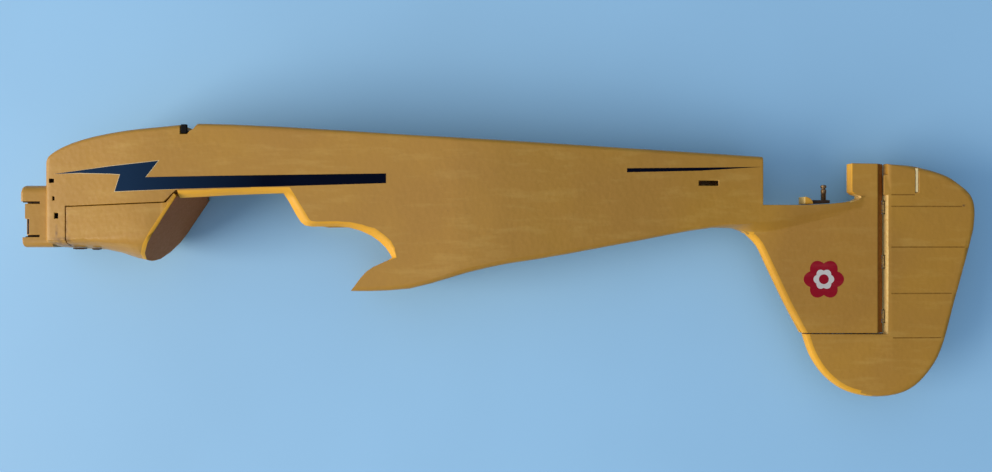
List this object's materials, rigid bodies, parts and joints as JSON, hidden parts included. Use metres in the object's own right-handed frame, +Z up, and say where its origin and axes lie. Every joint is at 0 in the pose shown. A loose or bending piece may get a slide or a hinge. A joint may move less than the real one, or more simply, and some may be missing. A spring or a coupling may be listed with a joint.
{
  "type": "model aeroplane fuselage with fin and rudder",
  "caption": "Bare moulded-foam fuselage of a high-wing model aeroplane, lying on its side, with a lift-up nose hatch, open cabin, fin and hinged rudder.",
  "frame": {"origin": "on the floor under the middle of the bounding box", "axes": "+X towards the tail, +Y towards the belly, +Z up, which is to starboard as the fuselage lies on its port side"},
  "size_m": [0.654, 0.1864, 0.072],
  "materials": {
    "foam": "yellow painted bead foam, satin",
    "black_plastic": "black moulded plastic",
    "brown_plastic": "dark brown plastic",
    "plywood": "bare light plywood",
    "nylon": "cream nylon",
    "stud_metal": "dull steel",
    "stripe_paint": "navy decal film"
  },
  "bodies": {
    "fuselage": {"fuselage_starboard_half": "foam", "fuselage_port_half": "foam", "firewall": "black_plastic", "hatch_former": "plywood", "servo_tray": "plywood", "pushrod_tube_starboard": "nylon", "pushrod_tube_port": "nylon", "gear_block": "black_plastic", "tail_lug": "foam", "stud_base": "black_plastic", "tail_stud": "stud_metal", "hinge_1_fixed": "brown_plastic", "hinge_2_fixed": "brown_plastic", "hinge_3_fixed": "brown_plastic"},
    "rudder": {"rudder": "foam", "hinge_1_moving": "brown_plastic", "hinge_2_moving": "brown_plastic", "hinge_3_moving": "brown_plastic", "tiller_sleeve": "nylon"},
    "nose_hatch": {"nose_hatch": "foam", "hatch_grip_front_starboard": "brown_plastic", "hatch_grip_front_port": "brown_plastic", "hatch_grip_rear_starboard": "brown_plastic", "hatch_grip_rear_port": "brown_plastic"}
  },
  "joints": [
    {"name": "rudder_hinge", "type": "hinge", "parent": "fuselage", "child": "rudder", "pos_m": [0.2633, 0.01875, 0.036], "axis": [0, 1, 0], "range_deg": [-25, 25]},
    {"name": "hatch_hinge", "type": "hinge", "parent": "fuselage", "child": "nose_hatch", "pos_m": [-0.2941, 0.01055, 0.036], "axis": [0, 0, -1], "range_deg": [0, 35]}
  ]
}
